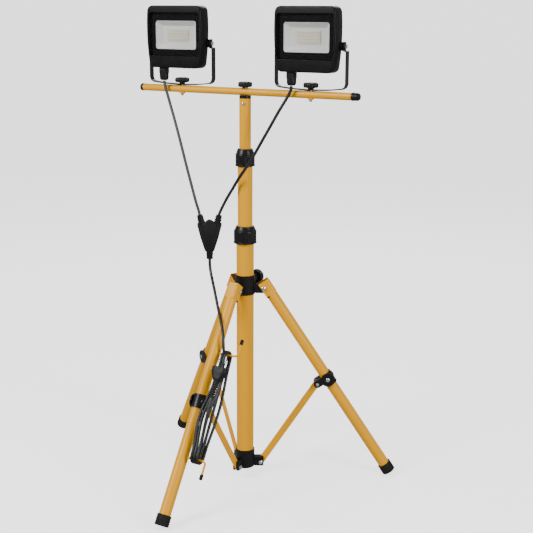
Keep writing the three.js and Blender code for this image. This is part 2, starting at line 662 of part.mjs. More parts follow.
// Y-shaped moulding: a tapered body with a low dome between its two inlets and a sleeve below for the cord.
function splitter() {
  const { bottom, shoulder, inlet, tail } = SPLITTER;
  const { narrow, wide, dome, domeRise, depth, bevel } = SPLITTER.body;
  const bodyLow = bottom + tail.length;
  const shape = new THREE.Shape();
  shape.moveTo(-narrow, bodyLow);
  shape.lineTo(narrow, bodyLow);
  shape.lineTo(wide, shoulder - bevel);
  shape.lineTo(wide - 1, shoulder);
  shape.lineTo(dome, shoulder);
  shape.quadraticCurveTo(0, shoulder + domeRise, -dome, shoulder);
  shape.lineTo(1 - wide, shoulder);
  shape.lineTo(-wide, shoulder - bevel);
  shape.closePath();
  const body = new THREE.ExtrudeGeometry(shape, {
    depth,
    bevelThickness: bevel,
    bevelSize: bevel,
    bevelOffset: -bevel,
    bevelSegments: 1,
    curveSegments: 6,
  }).rotateX(Math.PI / 2).translate(0, depth / 2, 0);
  const tailTop = bodyLow + 4;
  const sleeve = turned([[0, bottom], [tail.r, bottom], [tail.flare, tailTop], [0, tailTop]], 16);
  const inlets = [-1, 1].map((side) => {
    const profile = [[0, inlet.from], [inlet.r, inlet.from], [inlet.flare, inlet.length], [0, inlet.length]];
    return turned(profile, 16).rotateY(side * inlet.splay).translate(side * inlet.x, 0, shoulder);
  });
  return join(body, sleeve, ...inlets).rotateZ(SPLITTER.turn).translate(SPLITTER.x, SPLITTER.y, 0);
}

// The bundle of turns round both hooks, in the leg's own frame: a flat ring with round ends.
function hank() {
  const stadium = (half, path) => {
    path.absarc(0, -HANK.top, half, 0, Math.PI);
    path.absarc(0, -HANK.bottom, half, Math.PI, 2 * Math.PI);
    return path;
  };
  const shape = stadium(HANK.half, new THREE.Shape());
  shape.holes.push(stadium(HANK.hole, new THREE.Path()));
  return plateXZ(shape, HANK.left, HANK.right, 6);
}

// Angled two-pin mains plug with its pins up and a ribbed strain relief below.
function plug() {
  const { tip, face, neck, end, r, neckR, pin } = PLUG;
  const edge = r - 1.5;
  const profile = [[0, -neck], [neckR, -neck], [edge, -face - 14], [r, -face - 4], [edge, -face], [0, -face]];
  const top = 4 - neck;
  const relief = turned([[0, -end], [PLUG.relief.r, -end], [PLUG.relief.flare, top], [0, top]], 12);
  const pins = [-1, 1].map((side) => rod(pin.r, -face - 1, -tip).translate(0, (side * pin.pitch) / 2, 0));
  return join(turned(profile, 16), relief, ...pins).scale(PLUG.flatness, 1, 1).translate(PLUG.out, PLUG.y, 0);
}

function cords() {
  const leg = tubeFrame(LEG_AZIMUTHS.front);
  add('cable_hook_upper', hook(HOOK.upper, 1), yellow, leg);
  add('cable_hook_lower', hook(HOOK.lower, -1), yellow, leg);
  add('cord_hank', hank(), rubber, leg);
  add('plug', plug(), plugBlack, leg);
  add('splitter', splitter(), rubber);
  const routes = { lead_left: LEAD_LEFT, lead_right: LEAD_RIGHT, main_cord: MAIN_CORD };
  for (const [name, points] of Object.entries(routes)) {
    const curve = routeOf(points);
    add(name, along(curve, CORD_R, lengthSteps(curve), 8), rubber);
  }
}

mast();
lowerHub();
upperHub();
tripod();
crossbar();
lamp('left', LAMP_X.left);
lamp('right', LAMP_X.right);
cords();

export default group;
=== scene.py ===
# Twin LED work light on a telescopic folding tripod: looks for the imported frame. Metres, +Z up.
import math

import bmesh
import bpy
import numpy as np
from mathutils import Matrix, Vector


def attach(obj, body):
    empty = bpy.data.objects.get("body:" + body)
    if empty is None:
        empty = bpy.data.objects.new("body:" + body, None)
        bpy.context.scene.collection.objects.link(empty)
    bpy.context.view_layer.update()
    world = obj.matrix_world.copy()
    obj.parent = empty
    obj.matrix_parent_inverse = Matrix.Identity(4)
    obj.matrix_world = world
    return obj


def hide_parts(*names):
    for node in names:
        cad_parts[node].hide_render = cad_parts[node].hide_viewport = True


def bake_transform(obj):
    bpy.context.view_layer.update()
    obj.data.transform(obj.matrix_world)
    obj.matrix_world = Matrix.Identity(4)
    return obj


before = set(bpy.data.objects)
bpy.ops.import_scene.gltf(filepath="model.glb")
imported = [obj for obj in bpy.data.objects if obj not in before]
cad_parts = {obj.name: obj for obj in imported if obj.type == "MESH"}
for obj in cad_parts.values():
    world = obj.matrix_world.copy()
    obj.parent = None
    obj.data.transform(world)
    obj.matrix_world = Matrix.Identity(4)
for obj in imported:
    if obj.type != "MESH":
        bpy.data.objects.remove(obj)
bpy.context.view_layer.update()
MM = 0.001

# ---- the sizes that the pieces here share with the model ----------------------------------------------
CORD_R = 3.25 * MM
LEG_TILT = math.radians(33)
LEG_PIVOT = {"r": 40.6, "z": 418}
LEG_OFFSET = 7  # from the pivot's line out to the axis of the tube
LEGS = {"front": -90, "right": 30, "rear": 150}  # azimuths in degrees; the front leg carries the cord
BRACE_TOP = {"r": 161.2, "z": 198.9}
BRACKET_BOLT_T = 253  # down the leg from its pivot
BRACKET_HALF = 15.4
FOOT_R = 15.2
FLOOR_DEPTH = 20  # of the floor below the mast's foot
MAST_R = {"lower": 19, "middle": 16, "upper": 12.5}
BAR_Z = 843
BAR_R = 7.75
BAR_END = {"left": -261.5, "right": 250}
LAMP_X = {"left": -160, "right": 156.5}
TILT_Z = 941
STRAP_TOP = 851.05 + 2.6
GAP = 0.3


def spoke(azimuth):
    """From places on a spoke (radius, across, height) to places in the row frame."""
    return Matrix.Rotation(math.radians(azimuth), 4, "Z")


def leg_frame(azimuth):
    """The leg's own frame: its pivot is the origin, it runs down -Z, and +X is its outer side."""
    pivot = Matrix.Translation((LEG_PIVOT["r"] * MM, 0, LEG_PIVOT["z"] * MM))
    return spoke(azimuth) @ pivot @ Matrix.Rotation(-LEG_TILT, 4, "Y")


def tube_frame(azimuth):
    """The same on the axis of the leg's tube, which runs beside the pivot's line."""
    return leg_frame(azimuth) @ Matrix.Translation((LEG_OFFSET * MM, 0, 0))


# ---- camera -------------------------------------------------------------------------------------------
def make_camera():
    """A long lens, a little above the lamps, that looks down from the right of the front."""
    heading, pitch, roll = (math.radians(a) for a in (30.167, 13.099, 0.263))
    across = Vector((math.cos(heading), math.sin(heading), 0))
    level = Vector((-math.sin(heading), math.cos(heading), 0))
    forward = level * math.cos(pitch) - Vector((0, 0, math.sin(pitch)))
    up = across.cross(forward)
    right = across * math.cos(roll) + up * math.sin(roll)
    up = up * math.cos(roll) - across * math.sin(roll)
    turn = Matrix((right, up, -forward)).transposed()
    data = bpy.data.cameras.new("camera")
    data.sensor_width = 36
    data.lens = 74.63
    data.clip_start, data.clip_end = 0.1, 40
    camera = bpy.data.objects.new("camera", data)
    camera.matrix_world = Matrix.Translation((1.222, -2.0095, 1.012)) @ turn.to_4x4()
    bpy.context.scene.collection.objects.link(camera)
    bpy.context.scene.camera = camera


make_camera()


# ---- mesh helpers -------------------------------------------------------------------------------------
def piece(name, bm, material, body=None, smooth=35):
    """A new object from a bmesh, in the row frame, that rides on a CAD body."""
    bmesh.ops.recalc_face_normals(bm, faces=bm.faces)
    mesh = bpy.data.meshes.new(name)
    bm.to_mesh(mesh)
    bm.free()
    made = bpy.data.objects.new(name, mesh)
    bpy.context.scene.collection.objects.link(made)
    mesh.materials.append(material)
    if smooth:
        shade(made, smooth)
    if body:
        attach(made, body)
    return made


def shade(made, degrees):
    """Smooth shading with creases at the edges sharper than that."""
    bpy.context.view_layer.objects.active = made
    made.data.shade_smooth()
    made.data.set_sharp_from_angle(angle=math.radians(degrees))


def smooth_route(points, step=3.2 * MM):
    """Points every few millimetres on the centripetal curve through those points."""
    p = [np.array(q, float) for q in points]
    p = [2 * p[0] - p[1], *p, 2 * p[-1] - p[-2]]
    made = [p[1]]
    for a, b, c, d in zip(p, p[1:], p[2:], p[3:]):
        t0, t1, t2 = (max(np.linalg.norm(q - r) ** 0.5, 1e-6) for q, r in ((b, a), (c, b), (d, c)))
        m1 = ((b - a) / t0 - (c - a) / (t0 + t1) + (c - b) / t1) * t1
        m2 = ((c - b) / t1 - (d - b) / (t1 + t2) + (d - c) / t2) * t1
        n = max(2, round(np.linalg.norm(c - b) / step))
        for i in range(1, n + 1):
            s = i / n
            made.append(
                (2 * s**3 - 3 * s**2 + 1) * b + (s**3 - 2 * s**2 + s) * m1
                + (3 * s**2 - 2 * s**3) * c + (s**3 - s**2) * m2
            )
    return [Vector(q) for q in made]


def frames_along(path):
    """Tangent, normal and binormal at each point, carried along without twist."""
    last = len(path) - 1
    tangents = [(path[min(i + 1, last)] - path[max(i - 1, 0)]).normalized() for i in range(last + 1)]
    side = tangents[0].orthogonal().normalized()
    made = []
    for t in tangents:
        side = (side - t * side.dot(t)).normalized()
        made.append((t, side, t.cross(side)))
    return made


def skin(bm, rings, close=False):
    """Faces between rings of equal count; the last ring meets the first, or both ends are capped."""
    n = len(rings[0])
    pairs = list(zip(rings, rings[1:]))
    if close:
        pairs.append((rings[-1], rings[0]))
    for a, b in pairs:
        for k in range(n):
            bm.faces.new((a[k], a[(k + 1) % n], b[(k + 1) % n], b[k]))
    if not close:
        bm.faces.new(rings[0])
        bm.faces.new(rings[-1])
    return bm


def tube(path, frames, radius, sides=16):
    """A capped tube along those points, with the frame of each."""
    bm = bmesh.new()
    angles = [2 * math.pi * k / sides for k in range(sides)]
    return skin(bm, [
        [bm.verts.new(p + (u * math.cos(a) + v * math.sin(a)) * radius) for a in angles]
        for p, (_, u, v) in zip(path, frames)
    ])


# ---- materials ----------------------------------------------------------------------------------------
COAT_ROUGHNESS = 0.08
NOISE_SPAN = (0.3, 0.7)  # where most of a noise's values lie


def surface(name, colour, roughness, mottle, grain=None, rough_vary=0.08, **sockets):
    """A procedural finish. mottle is (scale, share) of slow colour variation. grain is (scale, strength, depth
    in millimetres) of fine bump. The rest are sockets of the shader, with _ for a space."""
    made = bpy.data.materials.new(name)
    made.use_nodes = True
    nodes, links = made.node_tree.nodes, made.node_tree.links
    shader = nodes["Principled BSDF"]
    shader.inputs["Coat Roughness"].default_value = COAT_ROUGHNESS
    for socket, value in sockets.items():
        shader.inputs[socket.replace("_", " ")].default_value = value
    place = nodes.new("ShaderNodeTexCoord")

    def noise(scale, detail=4.0):
        n = nodes.new("ShaderNodeTexNoise")
        n.inputs["Scale"].default_value = scale
        n.inputs["Detail"].default_value = detail
        n.inputs["Roughness"].default_value = 0.55
        links.new(place.outputs["Object"], n.inputs["Vector"])
        return n

    scale, share = mottle
    tone = nodes.new("ShaderNodeValToRGB")
    low, high = tone.color_ramp.elements
    low.position, high.position = NOISE_SPAN
    low.color = [c * (1 - share) for c in colour] + [1]
    high.color = [min(1, c * (1 + share)) for c in colour] + [1]
    links.new(noise(scale).outputs["Fac"], tone.inputs["Fac"])
    links.new(tone.outputs["Color"], shader.inputs["Base Color"])
    patch = noise(scale * 4.3, 6)
    spread = nodes.new("ShaderNodeMapRange")
    spread.inputs["To Min"].default_value = max(0.02, roughness - rough_vary)
    spread.inputs["To Max"].default_value = min(1, roughness + rough_vary)
    spread.inputs["From Min"].default_value, spread.inputs["From Max"].default_value = NOISE_SPAN
    links.new(patch.outputs["Fac"], spread.inputs["Value"])
    links.new(spread.outputs["Result"], shader.inputs["Roughness"])
    if grain:
        fine = noise(grain[0], 3)
        bump = nodes.new("ShaderNodeBump")
        bump.inputs["Strength"].default_value = grain[1]
        bump.inputs["Distance"].default_value = grain[2] * MM
        links.new(fine.outputs["Fac"], bump.inputs["Height"])
        links.new(bump.outputs["Normal"], shader.inputs["Normal"])
    return made


yellow = surface("yellow_enamel", (1.0, 0.45, 0.0), 0.36, (9, 0.02), (420, 0.04, 0.03), 0.03,
                 Specular_IOR_Level=0.28, Coat_Weight=0.08, Coat_Roughness=0.2)
jacket = surface("cord_jacket", (0.012, 0.012, 0.013), 0.4, (40, 0.12), (900, 0.2, 0.05))
jacket_grey = surface("cord_jacket_grey", (0.06, 0.06, 0.062), 0.5, (40, 0.12), (900, 0.2, 0.05))
moulded = surface("moulded_rubber", (0.008, 0.008, 0.0085), 0.5, (30, 0.1), (700, 0.25, 0.06),
                  Specular_IOR_Level=0.3)
nylon = surface("black_nylon", (0.007, 0.007, 0.0075), 0.34, (25, 0.1), (600, 0.2, 0.05),
                Specular_IOR_Level=0.3)
abs_black = surface("black_abs", (0.007, 0.007, 0.0075), 0.45, (25, 0.1), (900, 0.35, 0.06),
                    Specular_IOR_Level=0.3)
rubber = surface("foot_rubber", (0.012, 0.0115, 0.011), 0.75, (30, 0.15), (300, 0.3, 0.15),
                 Specular_IOR_Level=0.3)
zinc = surface("zinc_plate", (0.72, 0.73, 0.74), 0.24, (60, 0.05), (1500, 0.1, 0.02), Metallic=1.0)
strap_paint = surface("strap_paint", (0.01, 0.01, 0.0105), 0.38, (20, 0.1), (500, 0.2, 0.05),
                      Specular_IOR_Level=0.35)
lamp_black = surface("lamp_powder_coat", (0.004, 0.004, 0.0042), 0.4, (20, 0.1), (1100, 0.25, 0.04),
                     Specular_IOR_Level=0.2)
reflector_white = surface("reflector_white", (0.95, 0.945, 0.92), 0.4, (15, 0.02), (300, 0.08, 0.05))
board_white = surface("led_board_white", (0.93, 0.9, 0.78), 0.4, (40, 0.02))
chip_yellow = surface("led_phosphor", (0.95, 0.9, 0.66), 0.35, (60, 0.04))
mask_black = surface("printed_black", (0.003, 0.003, 0.0032), 0.3, (30, 0.1), Specular_IOR_Level=0.1)
clear = surface("toughened_glass", (0.02, 0.022, 0.022), 0.05, (12, 0.02), rough_vary=0.03, Alpha=0.09)


# ---- cords --------------------------------------------------------------------------------------------
SPLITTER = {"x": -69.3, "y": -35, "turn": math.radians(28), "bottom": 481, "tail": 17, "shoulder": 561}
INLET = {"x": 17.3, "splay": 0.22, "length": 17}
LAMP_STRETCH = [0.05]  # from a lamp's gland to where its lead leaves the strap's pan
MAST_STRETCHES = [0.042, 0.084, 0.126, 0.168]


def inlet_place(side, beyond):
    """A place on the axis of one inlet, that far beyond its mouth."""
    reach = INLET["length"] + beyond
    across = side * (INLET["x"] + reach * math.sin(INLET["splay"]))
    return (
        SPLITTER["x"] + across * math.cos(SPLITTER["turn"]),
        SPLITTER["y"] + across * math.sin(SPLITTER["turn"]),
        SPLITTER["shoulder"] + reach * math.cos(INLET["splay"]),
    )


LEAD_LEFT = [
    (-196.3, -16, 859.8), (-194.6, -16.1, 850.5), (-183.2, -17.8, 818.7), (-163.3, -25, 774.7),
    (-145.3, -33, 735.3), (-122.2, -43, 681.5), (-104.8, -48.5, 637.8), (-93.7, -49, 603.9),
    inlet_place(-1, 9), inlet_place(-1, 0.5),
]
LEAD_RIGHT = [
    (120.2, -16, 859.8), (118.7, -16.1, 851.5), (114.6, -16.9, 842.5), (108, -18.9, 830.5),
    (95.1, -22.5, 808.7), (76.2, -26.5, 775.2), (57.7, -29.5, 743.3), (38.4, -31.5, 710.9),
    (22.7, -31.5, 688.7), (2.7, -29.5, 663.5), (-17.2, -25, 636.6), (-36.1, -20, 611.4),
    inlet_place(1, 4), inlet_place(1, 0.5),
]
MAIN_CORD = [
    (-69.3, -35, 480.4), (-68.7, -35.5, 468), (-64.6, -39.2, 455), (-55.6, -47.4, 440.5),
    (-42.5, -60, 424.5), (-28.8, -73, 405.5), (-15, -86.3, 386.5), (-1, -99.6, 370),
    (10.3, -110.8, 355), (18.6, -120.2, 340), (23.2, -126, 326), (25.2, -128.5, 314.1),
]


def in_metres(points):
    return [tuple(c * MM for c in p) for p in points]


def split_at(path, cuts):
    """The path in stretches that share their end points, cut at those distances along it."""
    made, current, run, cuts = [], [path[0]], 0.0, list(cuts)
    for a, b in zip(path, path[1:]):
        run += (b - a).length
        current.append(b)
        if cuts and run >= cuts[0]:
            made.append(current)
            current = [b]
            cuts.pop(0)
    made.append(current)
    return made


def cord_pieces(name, path, cuts, joins, material):
    """One cord in several stretches cut at those distances, as many as there are pairs in joins; the stretches
    are not attached to those bodies.
    """
    frames = frames_along(path)
    index = 0
    for i, (stretch, (a, b)) in enumerate(zip(split_at(path, cuts), joins)):
        bm = tube(stretch, frames[index:index + len(stretch)], CORD_R)
        index += len(stretch) - 1
        cord = piece(f"{name}_{i + 1}", bm, material, smooth=60)
        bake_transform(cord)
        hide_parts(name)


main_path = smooth_route(in_metres(MAIN_CORD))
for side, route, jacketing in (("left", LEAD_LEFT, jacket_grey), ("right", LEAD_RIGHT, jacket)):
    lead_joins = [(f"lamp_{side}", f"strap_{side}"), (f"strap_{side}", "crossbar")]
    cord_pieces(f"lead_{side}", smooth_route(in_metres(route)), LAMP_STRETCH, lead_joins, jacketing)
crossed = ["crossbar", "mast_upper", "mast_middle", "mast_base", "upper_hub", "leg_front"]
cord_pieces("main_cord", main_path, MAST_STRETCHES, list(zip(crossed, crossed[1:])), jacket)


# ---- the model's own nodes ----------------------------------------------------------------------------
def soften(node, degrees=38):
    """Smooth shading on a CAD node, by its normals alone: corners share one below that angle."""
    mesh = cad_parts[node].data
    normals = [f.normal.copy() for f in mesh.polygons]
    meeting = {}
    for f in mesh.polygons:
        for v in f.vertices:
            meeting.setdefault(tuple(round(c, 6) for c in mesh.vertices[v].co), []).append(f.index)
    limit = math.cos(math.radians(degrees))
    made = []
    for f in mesh.polygons:
        for v in f.vertices:
            around = meeting[tuple(round(c, 6) for c in mesh.vertices[v].co)]
            total = Vector()
            for other in around:
                if normals[other].dot(normals[f.index]) > limit:
                    total += normals[other] * mesh.polygons[other].area
            made.append((total if total.length > 0 else normals[f.index]).normalized())
    mesh.normals_split_custom_set(made)


def finish_node(node, material, degrees=38):
    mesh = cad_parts[node].data
    mesh.materials.clear()
    mesh.materials.append(material)
    if degrees:
        soften(node, degrees)


for node in ("mast_tube_lower", "mast_tube_middle", "mast_tube_upper", "crossbar", "cable_hook_upper",
             "cable_hook_lower"):
    finish_node(node, yellow)
for leg in LEGS:
    finish_node(f"leg_tube_{leg}", yellow)
    finish_node(f"brace_{leg}", yellow)
    finish_node(f"leg_bracket_{leg}", nylon)
    finish_node(f"leg_pivot_bolt_{leg}", zinc, 30)
    finish_node(f"brace_bolt_{leg}", zinc, 30)
for node in ("mast_bush_lower", "mast_bush_upper", "lower_hub", "upper_hub", "bar_seat"):
    finish_node(node, nylon)
for side in LAMP_X:
    finish_node(f"lamp_strap_{side}", strap_paint, 30)
    finish_node(f"lamp_reflector_{side}", reflector_white, None)
    finish_node(f"lamp_led_board_{side}", board_white, None)
    for end in "ab":
        finish_node(f"lamp_pivot_bolt_{side}_{end}", zinc, None)


# ---- turned and lofted pieces -------------------------------------------------------------------------
def lathe(profile, sides=48, ripple=None):
    """A closed body of revolution about Z, from (radius, height) pairs in millimetres. ripple gives what to
    take off the radius, from the angle, the height and the radius."""
    bm = bmesh.new()
    rings = []
    for r, z in profile:
        if r < 1e-6:
            rings.append([bm.verts.new((0, 0, z * MM))])
            continue
        ring = []
        for k in range(sides):
            a = 2 * math.pi * k / sides
            reach = (r - (ripple(a, z, r) if ripple else 0)) * MM
            ring.append(bm.verts.new((reach * math.cos(a), reach * math.sin(a), z * MM)))
        rings.append(ring)
    pairs = list(zip(rings, rings[1:]))
    if len(rings[0]) > 1:
        pairs.append((rings[-1], rings[0]))
    for low, high in pairs:
        if len(low) == len(high) == 1:
            continue
        for k in range(sides):
            after = k + 1
            corners = (low[k % len(low)], low[after % len(low)], high[after % len(high)], high[k % len(high)])
            bm.faces.new(list(dict.fromkeys(corners)))
    return bm


def move(x=0, y=0, z=0):
    return Matrix.Translation((x * MM, y * MM, z * MM))


def turn(degrees, axis):
    return Matrix.Rotation(math.radians(degrees), 4, axis)


def put(name, bm, matrix, material, body, node=None, smooth=35):
    """A piece placed by that matrix, which may stand for a CAD node."""
    bmesh.ops.transform(bm, matrix=matrix, verts=bm.verts)
    made = piece(name, bm, material, body, smooth)
    if node:
        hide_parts(node)
    return made


def slab(x, y, z, bevel, segments=2):
    """A block in millimetres with rounded edges, from its two ends along each axis."""
    bm = bmesh.new()
    bmesh.ops.create_cube(bm, size=1)
    bmesh.ops.scale(bm, vec=[(high - low) * MM for low, high in (x, y, z)], verts=bm.verts)
    bmesh.ops.translate(bm, vec=[(low + high) / 2 * MM for low, high in (x, y, z)], verts=bm.verts)
    bmesh.ops.bevel(bm, geom=bm.edges[:], offset=bevel * MM, segments=segments, affect="EDGES", profile=0.5)
    return bm


def joined(*parts):
    """Several closed bodies in one bmesh."""
    whole = parts[0]
    for part in parts[1:]:
        mesh = bpy.data.meshes.new("part")
        part.to_mesh(mesh)
        part.free()
        whole.from_mesh(mesh)
        bpy.data.meshes.remove(mesh)
    return whole


def flutes(count, depth, low, high):
    """Grooves of that depth between two heights."""
    return lambda a, z, r: depth * (0.5 - 0.5 * math.cos(count * a)) if low <= z <= high else 0


# ---- lock collars -------------------------------------------------------------------------------------
def lock_collar(name, r, bottom, shoulder, top, outside, inside):
    """A fluted skirt round the outer tube and a cone up to the inner one."""
    skirt = [bottom + 6 + (shoulder - bottom - 9) * i / 4 for i in range(5)]
    profile = [
        (outside + GAP, bottom), (r - 0.8, bottom), (r, bottom + 0.8), (r, bottom + 3), (r - 0.6, bottom + 4),
        (r - 1.2, bottom + 4.6), *[(r - 0.7, z) for z in skirt], (r - 1.2, shoulder - 2),
        (r - 0.2, shoulder - 1),
        (r - 0.5, shoulder), (r - 1.8, shoulder + 1), (inside + 4.2, top - 2), (inside + 3.4, top - 0.4),
        (inside + 2.4, top), (inside + GAP, top), (inside + GAP, top - 14), (outside + GAP, top - 16),
    ]
    bm = lathe(profile, 144, flutes(24, 0.9, skirt[0] - 0.1, skirt[-1] + 0.1))
    put(name, bm, Matrix(), nylon, name, name, 30)


lock_collar("lock_collar_lower", 25.2, 518, 545, 555.5, MAST_R["lower"], MAST_R["middle"])
lock_collar("lock_collar_upper", 21.3, 686, 711.5, 723, MAST_R["middle"], MAST_R["upper"])


# ---- knobs --------------------------------------------------------------------------------------------
def star_knob(name, x, z, r, stem_r, stem, head):
    """Six soft lobes on a flared stem, with a domed top and a low boss in its middle."""
    foot = z + stem
    top = foot + head
    profile = [
        (0, z), (stem_r, z), (stem_r, z + stem * 0.4), (stem_r + 1.5, foot - 0.8), (r - 2.6, foot),
        (r - 1, foot + 0.7), (r, foot + 2.2), (r, foot + 2.2 + (head - 4.5) * 0.5), (r, top - 2.3),
        (r - 0.7, top - 1), (r - 2.3, top - 0.1), (r - 5, top + 0.6), (7, top + 0.9), (6, top + 0.5),
        (5.2, top + 0.6), (0, top + 0.9),
    ]

    def lobes(a, z, r_here):
        share = min(1, max(0, (r_here - 8) / (r - 9)))
        return 2.1 * share * (0.5 - 0.5 * math.cos(6 * a)) ** 1.6 if foot - 0.1 <= z else 0

    put(name, lathe(profile, 96, lobes), move(x), abs_black, name, name, 40)


for side, x in LAMP_X.items():
    star_knob(f"lamp_knob_{side}", x, STRAP_TOP + GAP, 16.5, 6, 3.4, 9.5)
star_knob("centre_knob", 0, BAR_Z + BAR_R + GAP, 16, 6.5, 2, 10)

HUB_KNOB_Z = 433
hub_knob_profile = [
    (0, 37.4), (8, 37.4), (8, 43), (14.6, 43), (16, 44.4), (16, 50), (16, 54.5), (15.2, 56.2), (13, 57.2),
    (9, 57.6), (8, 57), (0, 57),
]
hub_knob = lathe(hub_knob_profile, 160, flutes(20, 1.3, 43.5, 56.5))
put("hub_clamp_knob", hub_knob, move(z=HUB_KNOB_Z) @ turn(-90, "X"), abs_black, "hub_clamp_knob",
    "hub_clamp_knob", 35)


# ---- crossbar ends, seat screw ------------------------------------------------------------------------
CAP_STEM = [(0, -15), (6.2, -15), (6.2, GAP), (8, GAP)]
left_cap = CAP_STEM + [(8.2, 1.2), (8.2, 5), (7.6, 6.8), (6.2, 7.9), (3.6, 8.4), (0, 8.5)]
right_cap = CAP_STEM + [
    (8.5, 0.9), (8.5, 5), (8, 5.8), (7.6, 6.2), (7.9, 6.8), (8.1, 8), (8.1, 11.5), (7.8, 13.4), (7.1, 15.2),
    (5.8, 16.8), (3.6, 17.7), (0, 18),
]
for side, profile, facing, crease in (("left", left_cap, -90, 35), ("right", right_cap, 90, 25)):
    cap_place = move(BAR_END[side], 0, BAR_Z) @ turn(facing, "Y")
    put(f"crossbar_cap_{side}", lathe(profile), cap_place, nylon, "crossbar", f"crossbar_cap_{side}",
        crease)


def pan_head(r, height):
    """A screw's domed head with a recess, standing on the plane z = 0."""
    return lathe([
        (0, -0.5), (r, -0.5), (r, height * 0.35), (r * 0.85, height * 0.75), (r * 0.5, height),
        (r * 0.3, height), (r * 0.28, height * 0.6), (0, height * 0.6),
    ], 32)


SEAT_SCREW = {"azimuth": -75, "z": 818}
seat_screw_place = spoke(SEAT_SCREW["azimuth"]) @ move(MAST_R["upper"], 0, SEAT_SCREW["z"]) @ turn(90, "Y")
put("seat_screw", pan_head(3.6, 2.4), seat_screw_place, zinc, "mast_upper")


# ---- lamps --------------------------------------------------------------------------------------------
HALF, BOTTOM, TOP, FRONT_Y = 70.5, 888.5, 1019.5, -31.5
MID = (BOTTOM + TOP) / 2
CORNER = 13
PANE = {"half": 64.5, "low": 913.5, "high": 1004, "front": FRONT_Y + 4.5, "back": FRONT_Y + 8.5}
WINDOW = {"half": 51.8, "low": 928, "high": 987.5}
PANE_CORNER = 6
GLAND = {"x": -36.3, "y": -16}
BOARD_Y = FRONT_Y + 20 - GAP - 1.6


def bezier(a, b, c, n=10):
    """The points after the first of a quadratic curve from a to c."""
    return [
        tuple((1 - t) ** 2 * p + 2 * t * (1 - t) * q + t * t * r for p, q, r in zip(a, b, c))
        for t in (i / n for i in range(1, n + 1))
    ]


def housing_outline():
    """The housing's bulged outline as (x, z): its right half from the bottom up, and its mirror image."""
    foot, head = HALF - 6.5, HALF - 2.5
    right = [(0, BOTTOM), (foot - CORNER, BOTTOM)]
    right += bezier((foot - CORNER, BOTTOM), (foot, BOTTOM), (foot + 1.4, BOTTOM + CORNER))
    right += bezier((foot + 1.4, BOTTOM + CORNER), (HALF + 2.5, MID), (head + 1.4, TOP - CORNER), 20)
    right += bezier((head + 1.4, TOP - CORNER), (head, TOP), (head - CORNER, TOP))
    right.append((0, TOP))
    return right + [(-x, z) for x, z in reversed(right[1:-1])]


def rounded_outline(half, low, high, r, n=6):
    """A rounded rectangle about the middle plane, from its lower right corner round."""
    made = []
    x, bottom, top = half - r, low + r, high - r
    for cx, cz, start in ((x, bottom, -90), (x, top, 0), (-x, top, 90), (-x, bottom, 180)):
        for i in range(n + 1):
            a = math.radians(start + 90 * i / n)
            made.append((cx + r * math.cos(a), cz + r * math.sin(a)))
    return made


def by_angle(loop, centre_z, angles):
    """Where rays from the middle meet a closed outline."""
    made = []
    for a in angles:
        dx, dz = math.cos(a), math.sin(a)
        best = 0.0
        for (x0, z0), (x1, z1) in zip(loop, loop[1:] + loop[:1]):
            z0r, z1r = z0 - centre_z, z1 - centre_z
            s0, s1 = x0 * dz - z0r * dx, x1 * dz - z1r * dx
            if s0 * s1 <= 0 and abs(s0 - s1) > 1e-12:
                k = s0 / (s0 - s1)
                reach = (x0 + (x1 - x0) * k) * dx + (z0r + (z1r - z0r) * k) * dz
                best = max(best, reach)
        made.append((best * dx, centre_z + best * dz))
    return made


def inset(loop, distance):
    """The outline moved inwards along its normals."""
    made, n = [], len(loop)
    for i, (x, z) in enumerate(loop):
        (xa, za), (xb, zb) = loop[i - 1], loop[(i + 1) % n]
        tx, tz = xb - xa, zb - za
        size = math.hypot(tx, tz) or 1
        made.append((x - tz / size * distance, z + tx / size * distance))
    return made


def loft(rings, close=True):
    """A skin through outlines of equal count. Each ring is (y, [(x, z), ...]) in millimetres."""
    bm = bmesh.new()
    return skin(bm, [[bm.verts.new((x * MM, y * MM, z * MM)) for x, z in loop] for y, loop in rings], close)


def matched(first, second):
    """Two outlines, one inside the other, as the same number of points on rays from the middle."""
    heights = [z for _, z in second]
    centre = (min(heights) + max(heights)) / 2
    angles = sorted(set(round(math.atan2(z - centre, x), 4) for x, z in first + second))
    return by_angle(first, centre, angles), by_angle(second, centre, angles)


def housing_bmesh():
    """The cast body: its bulged rim, the pane's pocket, the hollow behind it, and the ribs on its back."""
    opening = rounded_outline(PANE["half"] + GAP, PANE["low"] - GAP, PANE["high"] + GAP, PANE_CORNER)
    outer, pocket = matched(housing_outline(), opening)
    seat = PANE["back"] + 1.4
    rings = [
        (0, inset(outer, 3.2)), (-0.5, inset(outer, 1.4)), (-2, inset(outer, 0.4)), (-4, outer), (-15, outer),
        (FRONT_Y + 3.6, outer), (FRONT_Y + 1.8, inset(outer, 0.35)), (FRONT_Y + 0.7, inset(outer, 1.1)),
        (FRONT_Y + 0.1, inset(outer, 2.2)), (FRONT_Y, inset(outer, 3)), (FRONT_Y, inset(pocket, -1)),
        (FRONT_Y + 0.5, inset(pocket, -0.2)), (FRONT_Y + 1.2, pocket), (seat, pocket),
        (seat, inset(pocket, 6)), (-2.5, inset(pocket, 6)),
    ]
    parts = [loft(rings, close=False)]
    rib_low, rib_high = BOTTOM + 14, TOP - 14
    for i in range(10):
        x = (i - 4.5) * 12
        parts.append(slab((x - 1.2, x + 1.2), (-1, 9), (rib_low, rib_high), 0.6))
    for low, high in ((rib_low - 5, rib_low), (rib_high, rib_high + 5)):
        parts.append(slab((-58, 58), (-1, 2.4), (low, high), 0.8))
    for side in (-1, 1):
        ear = lathe([(0, 60), (8.6, 60), (8.6, 70.8), (7.8, 72), (0, 72.2)], 40)
        bmesh.ops.transform(ear, matrix=move(z=TILT_Z) @ turn(90 * side, "Y"), verts=ear.verts)
        parts.append(ear)
    return joined(*parts)


